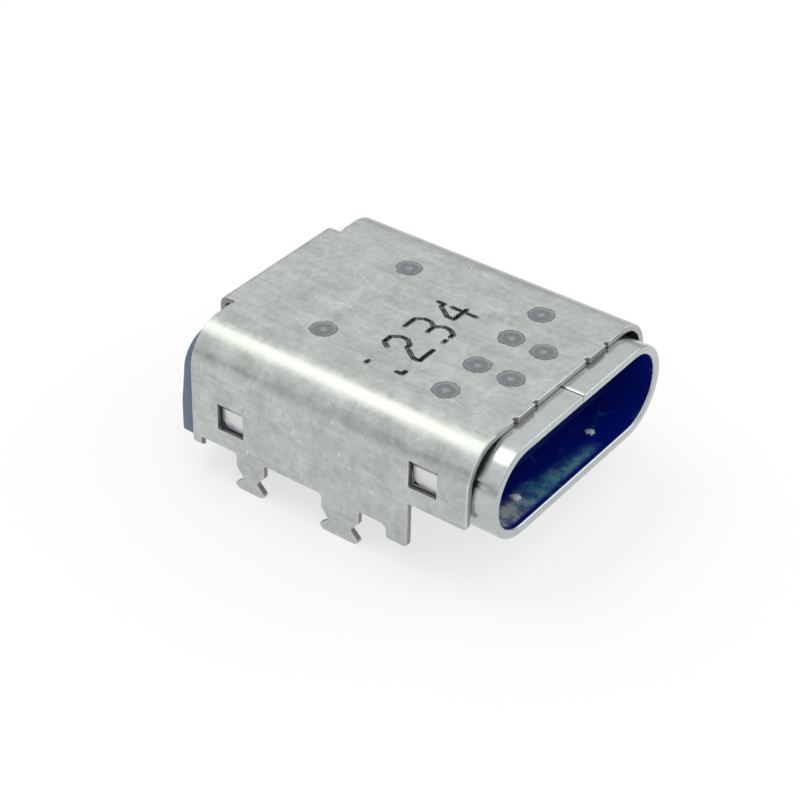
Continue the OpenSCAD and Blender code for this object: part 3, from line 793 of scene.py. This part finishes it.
def lay_floor():
    """A plain pale floor with a faint glow of its own, so that shadows stay soft."""
    bm = bmesh.new()
    bmesh.ops.create_grid(bm, x_segments=1, y_segments=1, size=FLOOR_HALF)
    bmesh.ops.translate(bm, verts=bm.verts, vec=(0, 0, FLOOR_Z))
    mesh = bpy.data.meshes.new("floor")
    bm.to_mesh(mesh)
    bm.free()
    floor = placed("floor", mesh)
    material, tree, shader, _ = new_material("pale_floor")
    feed(tree, shader, Base_Color=FLOOR_GREY, Roughness=0.9, Emission_Color=WHITE)
    shader.inputs["Specular IOR Level"].default_value = FLOOR_SHEEN
    shader.inputs["Emission Strength"].default_value = FLOOR_GLOW
    mesh.materials.append(material)


def light_world():
    """A soft tent: bright overhead, darker towards the horizon."""
    world = bpy.data.worlds.new("soft_tent")
    bpy.context.scene.world = world
    world.use_nodes = True
    tree = world.node_tree
    background = next(n for n in tree.nodes if n.type == "BACKGROUND")
    direction = add(tree, "ShaderNodeTexCoord").outputs["Generated"]
    up = add(tree, "ShaderNodeSeparateXYZ", {0: direction}).outputs["Z"]
    rising = ramp(tree, up, 0.08, 0.53, 0.56, 1.02)
    zenith = ramp(tree, up, 0.6, 1.0, 0.0, 0.13)
    tree.links.new(math_node(tree, "ADD", rising, zenith), background.inputs["Strength"])
    background.inputs["Color"].default_value = WHITE


def softbox(name, azimuth, elevation, size, watts, colour=(1, 1, 1)):
    """A rectangular lamp that looks at the part; azimuth 0 stands behind it, 90 on its right."""
    data = bpy.data.lights.new(name, "AREA")
    data.shape = "RECTANGLE"
    data.size, data.size_y = size
    data.energy = watts
    data.color = colour
    lamp = placed(name, data)
    a, e = math.radians(azimuth), math.radians(elevation)
    toward = Vector((math.sin(a) * math.cos(e), math.cos(a) * math.cos(e), math.sin(e)))
    lamp.location = (cad_low + cad_high) / 2 + toward * LAMP_AWAY
    lamp.rotation_euler = (-toward).to_track_quat("-Z", "Y").to_euler()


def stand_camera():
    """The camera looks down from the front left, a little tilted."""
    forward = Vector((math.sin(CAMERA_TURN) * math.cos(CAMERA_DOWN),
                      math.cos(CAMERA_TURN) * math.cos(CAMERA_DOWN),
                      -math.sin(CAMERA_DOWN)))
    data = bpy.data.cameras.new("camera")
    data.lens = CAMERA_LENS
    data.sensor_width = CAMERA_FILM
    data.clip_start = CAMERA_NEAR
    camera = placed("camera", data)
    camera.location = CAMERA_PLACE
    level = forward.to_track_quat("-Z", "Y")
    camera.rotation_mode = "QUATERNION"
    camera.rotation_quaternion = level @ Matrix.Rotation(CAMERA_ROLL, 3, "Z").to_quaternion()
    bpy.context.scene.camera = camera


make_shield()
make_shell()
make_housing()
print_digits()
dress_inner_nodes()
lay_floor()
light_world()
softbox("overhead", azimuth=-13, elevation=61, size=(0.088, 0.05), watts=0.029, colour=WARM_WHITE)
softbox("front_right", azimuth=131, elevation=28, size=(0.1, 0.045), watts=0.024)
stand_camera()
bpy.context.scene.view_settings.view_transform = "Standard"
